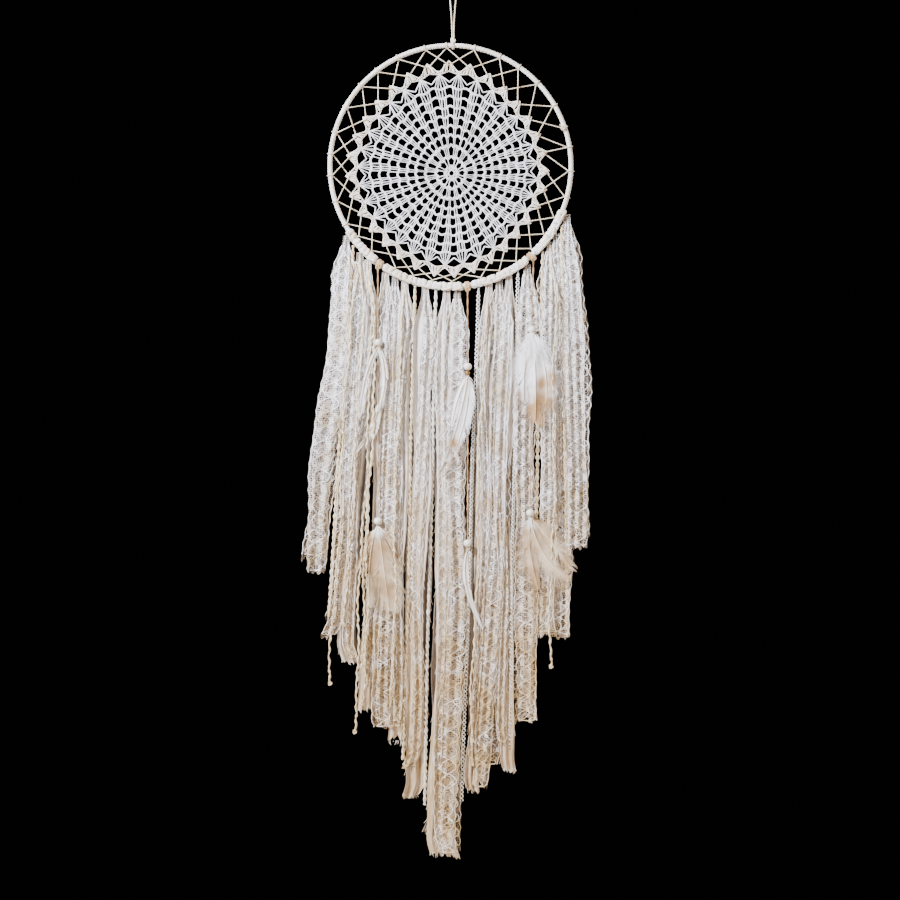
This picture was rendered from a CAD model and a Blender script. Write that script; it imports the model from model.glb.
# %% [markdown]
# # A dream catcher with a crocheted web and a lace fringe
#
# A steel hoop is wrapped with cotton tape. A crocheted doily is laced into it, and strips of lace,
# satin and fluffy yarn hang from lark's head knots on its lower half, with three strings of beads
# and feathers in front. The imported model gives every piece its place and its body, and this script
# makes the pieces again as threads, cloth and feathers. All shapes are worked out in millimetres.

# %% Load the frame
import bpy
import numpy as np
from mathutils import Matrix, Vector


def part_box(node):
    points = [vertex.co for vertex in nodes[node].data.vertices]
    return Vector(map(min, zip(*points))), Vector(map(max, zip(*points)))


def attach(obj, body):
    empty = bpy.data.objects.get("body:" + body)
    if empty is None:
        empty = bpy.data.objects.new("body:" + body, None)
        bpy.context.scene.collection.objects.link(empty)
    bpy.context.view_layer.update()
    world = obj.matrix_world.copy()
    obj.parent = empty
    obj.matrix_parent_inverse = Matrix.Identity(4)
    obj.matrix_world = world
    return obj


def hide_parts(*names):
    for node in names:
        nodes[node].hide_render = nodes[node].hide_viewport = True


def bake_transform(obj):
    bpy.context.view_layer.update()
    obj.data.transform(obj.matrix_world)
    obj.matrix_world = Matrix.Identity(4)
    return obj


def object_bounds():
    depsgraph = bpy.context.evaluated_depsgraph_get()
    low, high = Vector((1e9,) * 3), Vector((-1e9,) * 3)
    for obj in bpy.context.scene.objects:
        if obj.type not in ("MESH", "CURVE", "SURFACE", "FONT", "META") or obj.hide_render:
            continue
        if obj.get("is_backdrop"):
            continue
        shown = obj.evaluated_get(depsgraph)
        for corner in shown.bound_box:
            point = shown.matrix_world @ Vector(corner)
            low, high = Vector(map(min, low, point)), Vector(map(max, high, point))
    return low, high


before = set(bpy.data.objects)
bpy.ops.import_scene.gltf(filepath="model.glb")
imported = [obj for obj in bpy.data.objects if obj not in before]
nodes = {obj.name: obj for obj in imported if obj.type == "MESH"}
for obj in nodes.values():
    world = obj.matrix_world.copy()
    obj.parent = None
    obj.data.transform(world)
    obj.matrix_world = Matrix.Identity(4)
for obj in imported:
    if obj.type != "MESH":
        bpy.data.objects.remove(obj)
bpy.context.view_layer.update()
chance = np.random.default_rng(11)
MM = 0.001

# %% [markdown]
# ## Camera and light
#
# A wall hanging is seen straight on. A long lens from three metres away keeps the hoop round and
# the strands parallel. The room behind it is dark, so thin lace reads as light threads. A fairly small
# cool lamp high on the left gives every fold a shadow, a broad warm one low in front fills it, and
# one at each side just behind draws a bright line along the edges of the cloth.

# %% Camera
# Metres: the height that the view takes in, how far away the camera is, and what it points at
view_height = 1.098
distance = 3.0
middle = Vector((-0.0036, 0.0, -0.5615))
scene = bpy.context.scene


def show(name, data):
    """A new object in the scene with this data."""
    shown = bpy.data.objects.new(name, data)
    scene.collection.objects.link(shown)
    return shown


camera_data = bpy.data.cameras.new("camera")
camera_data.sensor_width = 36.0
camera_data.lens = camera_data.sensor_width * distance / view_height
camera = show("camera", camera_data)
camera.location = middle - Vector((0, distance, 0))
camera.rotation_euler = (np.radians(90), 0, 0)
scene.camera = camera
print("lens in mm:", round(camera_data.lens, 1))


# %% Lamps
def linear(code):
    """The linear colour for an sRGB hex code: each channel c is c / 12.92 where it is dark,
    and ((c + 0.055) / 1.055) to the power 2.4 above that."""
    c = np.array([int(code[i:i + 2], 16) for i in (1, 3, 5)]) / 255
    return (*np.where(c <= 0.04045, c / 12.92, ((c + 0.055) / 1.055) ** 2.4).tolist(), 1.0)


def lamp(name, place, target, size, watts, colour):
    """A square area lamp at place, turned so that its -Z axis points at target."""
    data = bpy.data.lights.new(name, "AREA")
    data.size = size
    data.energy = watts
    data.color = linear(colour)[:3]
    lit = show(name, data)
    lit.location = place
    lit.rotation_euler = (Vector(target) - Vector(place)).to_track_quat("-Z", "Y").to_euler()


lamp("key", (-1.35, -1.4, 0.85), (0, 0, -0.3), 0.5, 255, "#eef2ff")
lamp("fill", (0.9, -2.0, -1.0), (0, 0, -0.75), 1.1, 22, "#ffdfb8")
lamp("left_edge", (-1.2, 0.7, -0.1), (0, 0, -0.45), 0.7, 26, "#f2f4ff")
lamp("right_edge", (1.2, 0.7, -0.3), (0, 0, -0.5), 0.7, 26, "#fff2e2")
world = bpy.data.worlds.new("dark_room")
world.use_nodes = True
world.node_tree.nodes["Background"].inputs["Color"].default_value = linear("#0b0b0c")
world.node_tree.nodes["Background"].inputs["Strength"].default_value = 0.25
scene.world = world
print("lamps: 4")

# %% [markdown]
# ## From a formula to a mesh
#
# Every piece here is a grid of points, or many grids at once: rows run along a thread or down a
# strip, and columns go round it or across it. Numpy works out the whole grid in one go. Each corner
# also keeps its flat place in millimetres as a UV map, so a weave or a twist in the material follows
# the cloth wherever it goes.


# %% Grids of points
def unit(v):
    """Each vector divided by its own length."""
    return v / np.maximum(np.linalg.norm(v, axis=-1, keepdims=True), 1e-9)


def surface(points, along, across, closed=False, capped=False):
    """Faces over points[..., i, j]: each is the corners (i, j), (i, j+1), (i+1, j+1), (i+1, j), with
    the flat place (across[j], along[i]). A closed grid joins its last column to its first."""
    rows, cols = points.shape[-3:-1]
    many = int(np.prod(points.shape[:-3]))
    along = np.broadcast_to(along, points.shape[:-2]).reshape(many, rows)
    i, j = np.meshgrid(np.arange(rows - 1), np.arange(cols if closed else cols - 1), indexing="ij")
    ci = np.stack([i, i, i + 1, i + 1], -1).reshape(-1, 4)
    cj = np.stack([j, j + 1, j + 1, j], -1).reshape(-1, 4)
    start = (np.arange(many) * rows * cols)[:, None, None]
    flat = np.stack(np.broadcast_arrays(np.asarray(across)[cj][None], along[:, ci]), -1)
    faces = [((ci * cols + cj % cols)[None] + start, flat)]
    if capped:
        ring = np.arange(cols)[None, None] + start
        ends = np.zeros((many, 1, cols, 2))
        faces += [(ring[..., ::-1], ends), (ring + (rows - 1) * cols, ends)]
    return points.reshape(-1, 3), [(f.reshape(-1, f.shape[-1]), uv.reshape(-1, 2)) for f, uv in faces]


def build(name, patches, material, body=None, node=None):
    """One object from several surfaces: their points in a row, each face's corner numbers moved on
    by the points before it, and millimetres turned to metres. It rides on a body and stands in for
    a node of the model, where they are given."""
    points = np.concatenate([p for p, _ in patches]) * MM
    start = np.cumsum([0] + [len(p) for p, _ in patches])
    faces = [(f + start[n], uv) for n, (_, group) in enumerate(patches) for f, uv in group]
    corners = np.concatenate([f.ravel() for f, _ in faces])
    sizes = np.concatenate([np.full(len(f), f.shape[1]) for f, _ in faces])
    mesh = bpy.data.meshes.new(name)
    mesh.vertices.add(len(points))
    mesh.vertices.foreach_set("co", points.astype(np.float32).ravel())
    mesh.loops.add(len(corners))
    mesh.loops.foreach_set("vertex_index", corners.astype(np.int32))
    mesh.polygons.add(len(sizes))
    mesh.polygons.foreach_set("loop_start", (np.cumsum(sizes) - sizes).astype(np.int32))
    flat = mesh.uv_layers.new(name="flat_mm")
    flat.uv.foreach_set("vector", np.concatenate([uv for _, uv in faces]).astype(np.float32).ravel())
    mesh.update(calc_edges=True)
    mesh.shade_smooth()
    mesh.materials.append(material)
    piece = show(name, mesh)
    if body:
        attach(piece, body)
    if node:
        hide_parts(node)
    made[name] = int((sizes - 2).sum())
    return piece


made = {}
print("ready to build")


# %% Tubes and cords
def lengths(path):
    """Distance along a path to each of its points: the running sum of its steps."""
    step = np.linalg.norm(np.diff(path, axis=-2), axis=-1)
    return np.concatenate([np.zeros_like(step[..., :1]), np.cumsum(step, -1)], -1)


def carried_sides(path):
    """Two unit vectors square to the path at each point, carried along it without twist. Each step
    carries the side vector n to n - (n.t1) / (1 + t0.t1) * (t0 + t1), and the angle by which that
    misses the next point's own side vector is summed along the path and turned back."""
    t = unit(np.gradient(path, axis=-2))
    n = unit(np.cross(t, np.eye(3)[np.abs(t).argmin(-1)]))
    b = np.cross(t, n)
    t0, t1, n0 = t[..., :-1, :], t[..., 1:, :], n[..., :-1, :]
    share = (n0 * t1).sum(-1, keepdims=True) / (1 + (t0 * t1).sum(-1, keepdims=True))
    moved = n0 - share * (t0 + t1)
    miss = np.arctan2((moved * b[..., 1:, :]).sum(-1), (moved * n[..., 1:, :]).sum(-1))
    turn = np.concatenate([np.zeros_like(miss[..., :1]), np.cumsum(miss, -1)], -1)[..., None]
    return np.cos(turn) * n + np.sin(turn) * b, np.cos(turn) * b - np.sin(turn) * n


def tube(path, radius, sides=8, plies=0, depth=0.3, pitch=4.0):
    """A ring round every point of the path, in the plane square to it. With plies, the ring's radius
    is r (1 - depth + depth |cos(plies / 2 (angle - turn))|), where turn makes one circle per pitch,
    so its bulges wind along the path as the plies of a twisted cord do."""
    n, b = carried_sides(path)
    along = lengths(path)
    angle = np.linspace(0, 2 * np.pi, sides, endpoint=False)
    r = np.broadcast_to(radius, along.shape)[..., None] * np.ones(sides)
    if plies:
        turn = 2 * np.pi * along[..., None] / pitch
        r = r * (1 - depth + depth * np.abs(np.cos(plies / 2 * (angle - turn))))
    way = np.cos(angle)[:, None] * n[..., None, :] + np.sin(angle)[:, None] * b[..., None, :]
    points = path[..., None, :] + r[..., None] * way
    return surface(points, along, np.arange(sides + 1) / sides, closed=True, capped=True)


def rounded(corners, step, reach):
    """A smooth path past the corners: points every step along the straight runs, each then moved to
    the mean of the points within reach of it on both sides. Both ends stay where they are."""
    corners = np.asarray(corners, float)
    along = lengths(corners)
    s = np.linspace(0, along[-1], int(along[-1] / step) + 2)
    path = np.stack([np.interp(s, along, corners[:, i]) for i in range(3)], -1)
    half = int(reach / step)
    if half:
        before = 2 * path[0] - path[half:0:-1]
        after = 2 * path[-1] - path[-2:-half - 2:-1]
        run = np.cumsum(np.concatenate([np.zeros((1, 3)), before, path, after]), 0)
        path = (run[2 * half + 1:] - run[:-2 * half - 1]) / (2 * half + 1)
    return path


print("a tube has one ring of points for each point of its path")

# %% [markdown]
# ## Materials
#
# Almost everything here is fibre: matt, a little fuzzy at grazing angles, and never one flat colour.
# Each fibre gets a base colour with slow variation, a fine bump for its threads and a soft sheen.
# The patterns read the flat UV map in millimetres, so their scales are real sizes.


# %% Node helper
def add(tree, kind, inputs=None, **settings):
    """Adds a node, sets its settings, and gives each input a value or a link from a socket."""
    node = tree.nodes.new("ShaderNode" + kind)
    for key, value in settings.items():
        setattr(node, key, value)
    for key, value in (inputs or {}).items():
        if isinstance(value, bpy.types.NodeSocket):
            tree.links.new(value, node.inputs[key])
        else:
            node.inputs[key].default_value = value
    return node


def blank(name):
    """A new material with only its shader, and that shader."""
    material = bpy.data.materials.new(name)
    material.use_nodes = True
    return material, material.node_tree, material.node_tree.nodes["Principled BSDF"]


def by_height(tree, place, noise, top_z, low_z, most):
    """The noise, raised by most at the height top_z and lowered by it at low_z. Both are metres."""
    height = add(tree, "SeparateXYZ", {"Vector": place["Object"]})
    tint = add(tree, "MapRange", {"Value": height.outputs["Z"], "From Min": low_z, "From Max": top_z,
                                  "To Min": -most, "To Max": most})
    return add(tree, "Math", {0: noise, 1: tint.outputs["Result"]}, operation="ADD").outputs["Value"]


def fibre(name, light, dark, roughness, sheen, plies_mm, bump_mm, patch_mm=14.0, tilt=1.0, most=0.0):
    """A spun or woven fibre. Its colour drifts between light and dark in patches, and its threads
    are a band pattern across the flat map, with one band every plies_mm. With most, it is lighter
    at the top of the fringe and darker at its foot."""
    material, tree, shader = blank(name)
    place = add(tree, "TexCoord").outputs
    drift = add(tree, "TexNoise", {"Vector": place["Object"], "Scale": 1000 / patch_mm, "Detail": 3.0})
    shade = by_height(tree, place, drift.outputs["Fac"], -0.3, -0.95, most)
    ramp = add(tree, "ValToRGB", {"Fac": shade})
    ramp.color_ramp.elements[0].position, ramp.color_ramp.elements[1].position = 0.36, 0.62
    ramp.color_ramp.elements[0].color, ramp.color_ramp.elements[1].color = linear(dark), linear(light)
    lean = add(tree, "Mapping", {"Vector": place["UV"], "Rotation": (0, 0, np.radians(35 * tilt))})
    threads = add(tree, "TexWave", {
        "Vector": lean.outputs["Vector"], "Scale": np.pi / 10 / plies_mm, "Distortion": 1.5,
        "Detail Scale": 2.0})
    bump = add(tree, "Bump", {"Height": threads.outputs["Fac"], "Strength": 0.5, "Distance": bump_mm * MM})
    tree.links.new(ramp.outputs["Color"], shader.inputs["Base Color"])
    tree.links.new(bump.outputs["Normal"], shader.inputs["Normal"])
    shader.inputs["Roughness"].default_value = roughness
    shader.inputs["IOR"].default_value = 1.53
    shader.inputs["Specular IOR Level"].default_value = 0.35
    shader.inputs["Sheen Weight"].default_value = sheen
    shader.inputs["Sheen Roughness"].default_value = 0.5
    return material


# Cotton tape wound on the hoop: smooth and closely woven, with a slight polish from handling
tape_cotton = fibre("cotton_tape_wound", "#f3efe7", "#ddd3c4", 0.62, 0.25, 0.7, 0.15)
# Mercerised crochet cotton: hard twisted plies that catch small lights
crochet_cotton = fibre("mercerised_crochet_cotton", "#f6f5f8", "#d3d0ce", 0.6, 0.3, 1.1, 0.3)
# The same cotton undyed, in the outermost round of fans
fan_cotton = fibre("undyed_crochet_cotton", "#f4efe6", "#dccfba", 0.65, 0.3, 1.1, 0.3)
# Lacing twine: cream and a little waxy
lacing_twine = fibre("waxed_lacing_twine", "#eadfc8", "#c3b08e", 0.5, 0.2, 0.9, 0.25)
# Hanging cord: plain bleached cotton, two plies
hanging_cotton = fibre("bleached_hanging_cord", "#f1e6d2", "#cfbfa2", 0.7, 0.3, 0.9, 0.25)
# Waxed tan cord of the feather strings
tan_twine = fibre("waxed_tan_cord", "#c9a67c", "#96734c", 0.5, 0.15, 0.8, 0.25)
print("cotton and twine: 6 materials")

# %% [markdown]
# ## Places on the hoop
#
# The hoop's middle and the radius of its steel ring come from the model. A point near the hoop is
# given by its angle round the hoop, its turn round the ring and its distance from the ring's middle.

# %% Hoop measures
ring_low, ring_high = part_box("hoop_ring")
hoop_mid = np.array((ring_low + ring_high) / 2) * 1000
hoop_mid[1] = 0
ring_r = (ring_high.y - ring_low.y) * 500
tube_r = (ring_high.x - ring_low.x) * 500 - ring_r
wrap_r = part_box("hoop_wrap")[1].y * 1000
print("hoop radius", round(tube_r, 2), "wrapping radius", round(wrap_r, 2))


def on_hoop(a, turn, d):
    """Angle a round the hoop, then distance d from the ring's middle at a turn from its outer side
    towards the back: x = (R + d cos turn) cos a, y = d sin turn, z = (R + d cos turn) sin a."""
    r = tube_r + d * np.cos(turn)
    return hoop_mid + np.stack(np.broadcast_arrays(r * np.cos(a), d * np.sin(turn), r * np.sin(a)), -1)


def in_plane(x, y, z):
    """A point seen from the hoop's middle."""
    return hoop_mid + np.stack(np.broadcast_arrays(x, y, z), -1).astype(float)


# %% [markdown]
# ## Hanging loop
#
# A thin cotton cord goes up from a knot on the hoop, over a nail, and down again. It is a real cord
# of a known length, so it is swept along its own route and declared as one.

# %% Hanging loop
loop_r = 0.9
crown_r = 4.0
neck_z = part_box("hanging_loop")[0].z * 1000
leg = np.array([
    [1.05, 0, neck_z], [1.05, 0, neck_z + 8], [1.25, 0, neck_z + 16], [1.85, 0, neck_z + 26],
    [crown_r - 1.2, 0, -20], [crown_r - 0.3, 0, -11], [crown_r, 0, loop_r - crown_r - 2]])
crown = np.radians(np.arange(0, 181, 20))
crown = np.stack([crown_r * np.cos(crown), 0 * crown, loop_r - crown_r + crown_r * np.sin(crown)], -1)
loop_path = rounded(np.concatenate([leg, crown, leg[::-1] * [-1, 1, 1]]), 0.35, 1.0)
loop = build("hanging_loop_cord", [tube(loop_path, loop_r, 10, plies=2, pitch=3.4)], hanging_cotton,
             "loop", "hanging_loop")
print("hanging cord, mm:", round(lengths(loop_path)[-1]))

# %% [markdown]
# ## Yarns
#
# Seven slots of the fringe hold a fluffy yarn, folded in half on the hoop so that two legs hang side
# by side. Some are a tight pair with soft lumps, and some are open like a chain. Both are the same
# formula: two strands on opposite sides of the yarn's middle line, winding round it.

# %% Fringe slots
# From left to right: what hangs in each slot (F is a feather string), how far it reaches below the
# hoop's middle, and how far to the right of that middle its foot hangs
slot_kind = list("LYLSFSLSYSYSLFYSLSYLFYLLYL")
slot_end = [500, 550, 580, 610, 0, 670, 695, 710, 725, 775, 780, 845, 850,
            0, 775, 770, 765, 745, 710, 685, 0, 680, 580, 580, 575, 470]
slot_foot = [-166, -149, -137, -123, 0, -97, -81, -69, -57, -44, -32, -17, -2,
             0, 14, 28, 44, 59, 72, 84, 0, 98, 115, 130, 143, 160]
kind_name = {"L": "lace_strand", "S": "satin_strand", "Y": "yarn_strand"}
first_knot, last_knot = 215, 336
slot_angle = np.radians(np.linspace(first_knot, last_knot, len(slot_kind)))
throat_r = 2.2


def strand_name(k):
    """The model's name for the strand in slot k, counted from one."""
    return f"{kind_name[slot_kind[k]]}_{k + 1:02d}"


def throat(k):
    """Where a strand hinges: under its knot, on the line from the hoop's middle through the knot."""
    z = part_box(strand_name(k))[1].z * 1000 - hoop_mid[2] - throat_r
    return np.array([z / np.tan(slot_angle[k]), z])


def middle_x(k, z):
    """A strand's middle line: straight from its throat to its foot."""
    top = throat(k)
    return top[0] + (slot_foot[k] - top[0]) * (top[1] - z) / (top[1] + slot_end[k])


# Spun cotton and viscose yarns, matt and lumpy: off-white, and a golden cream
white_boucle = fibre("boucle_yarn_white", "#f3f1ee", "#d0c0a2", 0.85, 0.5, 1.6, 0.5, patch_mm=6, most=0.14)
cream_boucle = fibre("boucle_yarn_cream", "#ecdcb8", "#c2a26c", 0.85, 0.5, 1.6, 0.5, patch_mm=6, most=0.1)
# Slots that hold a yarn, the open chain-like ones, and the cream ones
yarns = [k for k, kind in enumerate(slot_kind) if kind == "Y"]
open_yarns = (14, 18)
cream_yarns = (1, 8, 21, 24)


# %% Yarns
def yarn(k):
    """Two strands at opposite sides of the middle line: each is the line plus a vector of length c,
    shorter near the knot, that turns once per pitch, and its thickness swells by a few sines of
    different lengths."""
    top = throat(k)
    z = np.arange(top[1] + throat_r, -slot_end[k], -1.0)
    down = top[1] - z
    sway = 0.6 * np.sin(down / 61 + k) * np.clip(down / 60, 0, 1)
    centre = in_plane(middle_x(k, z) + sway, 0.3 * np.sin(down / 83 + 2 * k), z)
    is_open = k in open_yarns
    pitch, c = (10.0, 1.75) if is_open else (17.0, 1.2)
    turn = 2 * np.pi * down / pitch + k + np.array([[0], [np.pi]])
    near = np.clip(down / 8 + 0.3, 0.3, 1)
    side = c * near * np.cos(turn)
    depth = c * near * np.sin(turn)
    path = centre + np.stack([side, depth, 0 * side], -1)
    lumps = 0.5 + 0.5 * np.sin(down / 1.9 + 3 * np.sin(down / 11 + k)) * np.sin(down / 7.3 + k)
    radius = 0.62 + 0.25 * lumps if is_open else 0.85 + 0.75 * lumps
    radius = np.broadcast_to(radius, side.shape) * [[1.0], [0.9]]
    finish = cream_boucle if k in cream_yarns else white_boucle
    piece = build(f"{strand_name(k)}_yarn", [tube(path, radius, 8, plies=3, depth=0.22, pitch=3.1)], finish,
                  node=strand_name(k))
    hinge = in_plane(top[0], 0, top[1]) * MM
    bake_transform(piece)
    return lengths(centre)[-1]


print("yarn lengths, mm:", [round(yarn(k)) for k in yarns])

# %% [markdown]
# ## Cords of the feather strings
#
# Each feather string is a waxed tan cord, doubled. Its upper part hangs from the hoop through the
# upper bead, and its lower part carries the second bead. They are two pieces, because the lower part
# can swing on the upper one.

# %% Feather cords
string_names = ("left", "middle", "right")
string_y = -8.0
# How far in from the side of its box the upper cord's top lies
cord_inset = 0.8


def bead_middle(node):
    """The middle of a node's box, in millimetres."""
    low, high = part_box(node)
    return np.array((low + high) / 2) * 1000


def doubled(path, r=0.55, c=0.5, pitch=26.0):
    """Two cords side by side that cross now and then: the line plus and minus a vector of length c
    that turns once per pitch."""
    turn = 2 * np.pi * lengths(path) / pitch + np.array([[0], [np.pi]])
    return tube(path + c * np.stack([np.cos(turn), np.sin(turn), 0 * turn], -1), r, 8, plies=2, pitch=2.6)


def feather_cord(name, part, corners, body):
    """One part of a feather string: a doubled cord along smoothed corners."""
    path = rounded(corners, 0.8, 4.0)
    piece = build(f"{name}_{part}_tan_cord", [doubled(path)], tan_twine, body,
                  f"{name}_{part}_cord")
    return round(lengths(path)[-1])


for name in string_names:
    low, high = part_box(f"{name}_upper_cord")
    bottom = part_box(f"{name}_lower_cord")
    upper, lower = bead_middle(f"{name}_upper_bead"), bead_middle(f"{name}_lower_bead")
    start = np.array([0, string_y, high.z * 1000])
    start[0] = low.x * 1000 + cord_inset if name != "right" else high.x * 1000 - cord_inset
    joint = (upper + lower) / 2
    joint[2] = low.z * 1000 - 0.4
    joint[0] = upper[0] + (lower[0] - upper[0]) * (upper[2] - joint[2]) / (upper[2] - lower[2])
    end = np.array([lower[0], string_y, bottom[0].z * 1000])
    print(name, "cords, mm:",
          feather_cord(name, "upper", [start, upper, joint], f"{name}_feather_string"),
          feather_cord(name, "lower", [joint, lower, end], f"{name}_lower_string"))

# %% [markdown]
# ## Hoop
#
# Cotton tape is wound round the steel ring, each turn lapping over the last, so a small step runs
# round the hoop like the thread of a screw. A helix-shaped grid puts a row of points exactly on that
# step: row and turn move on together, and after one circle each column meets the row one tape
# further on.

# %% Hoop wrapping
# Turns of tape, rows of points in each, points round the tube, and the tape's edge and swell in mm
tape_turns = 212
rows_per_turn = 14
around = 20
groove, tape_swell = 0.42, 0.45


def hoop_tape():
    """Row i and column j lie at the angle 2 pi (i / rows - j / columns) / turns round the hoop, at
    the distance r - groove + swell share^(1/2) (1 - share^6) from the ring's middle, where share
    rises from zero to one across each tape. The last column of a row joins the first column of
    the row one turn back."""
    i, j = np.meshgrid(np.arange(tape_turns * rows_per_turn), np.arange(around), indexing="ij")
    share = (i % rows_per_turn) / rows_per_turn
    a = 2 * np.pi * (i / rows_per_turn - j / around) / tape_turns
    crown = tape_swell * np.sqrt(share) * (1 - share ** 6)
    points = on_hoop(a, 2 * np.pi * j / around, wrap_r - groove + crown)
    total = len(i)
    back = np.where(j == around - 1, i - rows_per_turn, i) % total
    right = (j + 1) % around
    quads = np.stack([i * around + j, ((i + 1) % total) * around + j,
                      ((back + 1) % total) * around + right, back * around + right], -1).reshape(-1, 4)
    u = 2 * np.pi * wrap_r * np.stack([j, j, j + 1, j + 1], -1) / around
    v = 2 * np.pi * tube_r / tape_turns * np.stack([i, i + 1, i + 1, i], -1) / rows_per_turn
    return points.reshape(-1, 3), [(quads, np.stack([u, v], -1).reshape(-1, 2))]


build("hoop_cotton_tape", [hoop_tape()], tape_cotton, "hoop", "hoop_wrap")
print("tape width in mm:", round(2 * np.pi * tube_r / tape_turns, 1))

# %% Steel ring
# Drawn steel wire: bright, with fine cloudy patches where it is a little less polished
material, tree, shader = blank("drawn_steel_wire")
grain = add(tree, "TexNoise", {"Vector": add(tree, "TexCoord").outputs["Object"], "Scale": 900.0})
shade = add(tree, "MapRange", {"Value": grain.outputs["Fac"], "To Min": 0.25, "To Max": 0.45})
tree.links.new(shade.outputs["Result"], shader.inputs["Roughness"])
shader.inputs["Base Color"].default_value = linear("#b9bbbe")
shader.inputs["Metallic"].default_value = 1.0
nodes["hoop_ring"].data.materials.clear()
nodes["hoop_ring"].data.materials.append(material)
print("ring material:", material.name)

# %% Knot of the hanging loop
def knotted(middle, size, r):
    """A trefoil, the closed form of an overhand knot: x = (2 + cos 3t) cos 2t, y = 0.8 sin 3t,
    z = 1.15 (2 + cos 3t) sin 2t, all a third of size."""
    t = np.linspace(0, 2 * np.pi, 90)
    out = 2 + np.cos(3 * t)
    path = np.stack([out * np.cos(2 * t), 0.8 * np.sin(3 * t), 1.15 * out * np.sin(2 * t)], -1) / 3
    return tube(middle + size * path, r, 8, plies=2, pitch=3.0)


top_angle = np.arccos(-hoop_mid[0] / tube_r)
turns = np.linspace(-2.2, 2 * np.pi * 1.75, 90)
bar = on_hoop(top_angle + (1.2 - 2.4 * (turns - turns[0]) / np.ptp(turns)) / tube_r, turns, wrap_r + 1.0)
neck = np.array([0, 0, neck_z - 3.4])
build("hanging_loop_knot", [
    tube(bar, loop_r, 8, plies=2, pitch=3.4), knotted(neck, 2.5, 0.95),
    knotted(neck - [0, 0, 2.0], 2.1, 0.9)], hanging_cotton, "knot", "hanging_knot")
print("knot made of a two-turn wrap and an overhand knot")

# %% [markdown]
# ## Crocheted doily
#
# The doily has 32 columns of holes and nine chained rings, with groups of tall stitches between the
# holes. Outside them stand pointed petals and an edge of solid fans. It is laced off its middle, so
# every round is pulled out of true: a stitch is placed by its angle and its share of the way from
# the crochet's middle to the fan tips, and that distance changes round the hoop. Flat cut-outs would
# miss the plies and loops that catch the light, so each stitch is a small twisted thread and each
# ring is a braid of three.

# %% Doily shape
fans = 32
fan_angle = np.radians(91.5 - 360 / fans * np.arange(fans))
step = 2 * np.pi / fans
# Gaps between the hoop and the fan tips. The lacing pulls the crochet's middle off their middle
gap_top, gap_bottom, gap_left, gap_right = 16.0, 8.0, 16.0, 24.0
hoop_in = tube_r - wrap_r
edge_mid = np.array([(gap_left - gap_right) / 2, (gap_bottom - gap_top) / 2])
edge_size = np.array([hoop_in - (gap_left + gap_right) / 2, hoop_in - (gap_top + gap_bottom) / 2])
crochet_mid = edge_mid + [5.5, -5.0]
slack = 0.05


def edge_at(a):
    """Distance from the crochet's middle to the oval of the fan tips, along angle a, less a little
    slack between the four sides: the larger root of the ray's crossing with the oval."""
    u = np.stack([np.cos(a), np.sin(a)], -1)
    d = crochet_mid - edge_mid
    qa = (u ** 2 / edge_size ** 2).sum(-1)
    qb = (u * d / edge_size ** 2).sum(-1)
    qc = (d ** 2 / edge_size ** 2).sum() - 1
    return (np.sqrt(qb ** 2 - qa * qc) - qb) / qa * (1 - slack * np.sin(2 * a) ** 2)


def doily_at(share, a, y=0.0):
    """A point of the crochet at a share of the way out along angle a, at depth y."""
    r = share * edge_at(a)
    return in_plane(crochet_mid[0] + r * np.cos(a), y, crochet_mid[1] + r * np.sin(a))


def braid(path, half, r, pitch, sides=5):
    """Three strands that cross as in a chain stitch: across the path a sine of the distance along
    it, through the cloth a sine twice as fast, each strand a third of a wave on from the last."""
    along = lengths(path)[..., None, :]
    across = unit(np.cross(unit(np.gradient(path, axis=-2)), [0, 1, 0]))[..., None, :, :]
    phase = 2 * np.pi * (along / pitch + np.arange(3)[:, None] / 3)
    strands = path[..., None, :, :] + half * np.sin(phase)[..., None] * across
    strands[..., 1] += 0.45 * half * np.sin(2 * phase)
    return tube(strands, r, sides)


def stitches(share0, a0, share1, a1, r, points=12):
    """Tall stitches from one round to the next: twisted threads that narrow in the middle and
    stand slightly proud of the cloth there."""
    share0, a0, share1, a1, r = (v.ravel() for v in np.broadcast_arrays(share0, a0, share1, a1, r))
    a0 = a0 + chance.normal(0, 0.006, a0.shape)
    a1 = a1 + chance.normal(0, 0.006, a0.shape)
    r = r * chance.uniform(0.85, 1.12, a0.shape)
    t = np.linspace(0, 1, points)[:, None]
    path = (1 - t) * doily_at(share0, a0)[:, None] + t * doily_at(share1, a1)[:, None]
    path[..., 1] += chance.normal(0, 0.12, (len(a0), 1)) - 0.25 * np.sin(np.pi * t[:, 0])
    radius = r[:, None] * (0.68 + 0.34 * np.cos(np.pi * t[:, 0]) ** 2)
    return tube(path, radius, 8, plies=2, depth=0.32, pitch=4.2)


# %% Rings and tall stitches
ring_share = np.array([0.058, 0.142, 0.244, 0.335, 0.417, 0.504, 0.59, 0.677, 0.764])
round_holes = [8, 16, 32, 32, 32, 32, 32, 32]
group_size = [2, 3, 2, 2, 3, 3, 4, 4]
round_at = [0.10, 0.19, 0.29, 0.37, 0.46, 0.55, 0.635, 0.72]
hub_share, hub_stitches = 0.03, 12
# The doily's radius for counting a ring's points, one every chain_step, and its mean radius
outer_r, mean_r, chain_step = 128, 126, 0.8
circle = [np.linspace(0, 2 * np.pi, int(2 * np.pi * outer_r * s / chain_step)) for s in ring_share]


def ring(share, a, columns):
    """A chained ring that bows outwards over each hole, by a cosine with one wave per column, and
    wobbles a little, as handwork does, by two short sines of the angle."""
    bow = 0.0105 * np.cos(columns * (a - fan_angle[0])) + 0.0022 * np.sin(11 * a + 40 * share)
    return braid(doily_at(share + bow + 0.0015 * np.sin(29 * a), a), 0.9, 0.62, 4.4)


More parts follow.
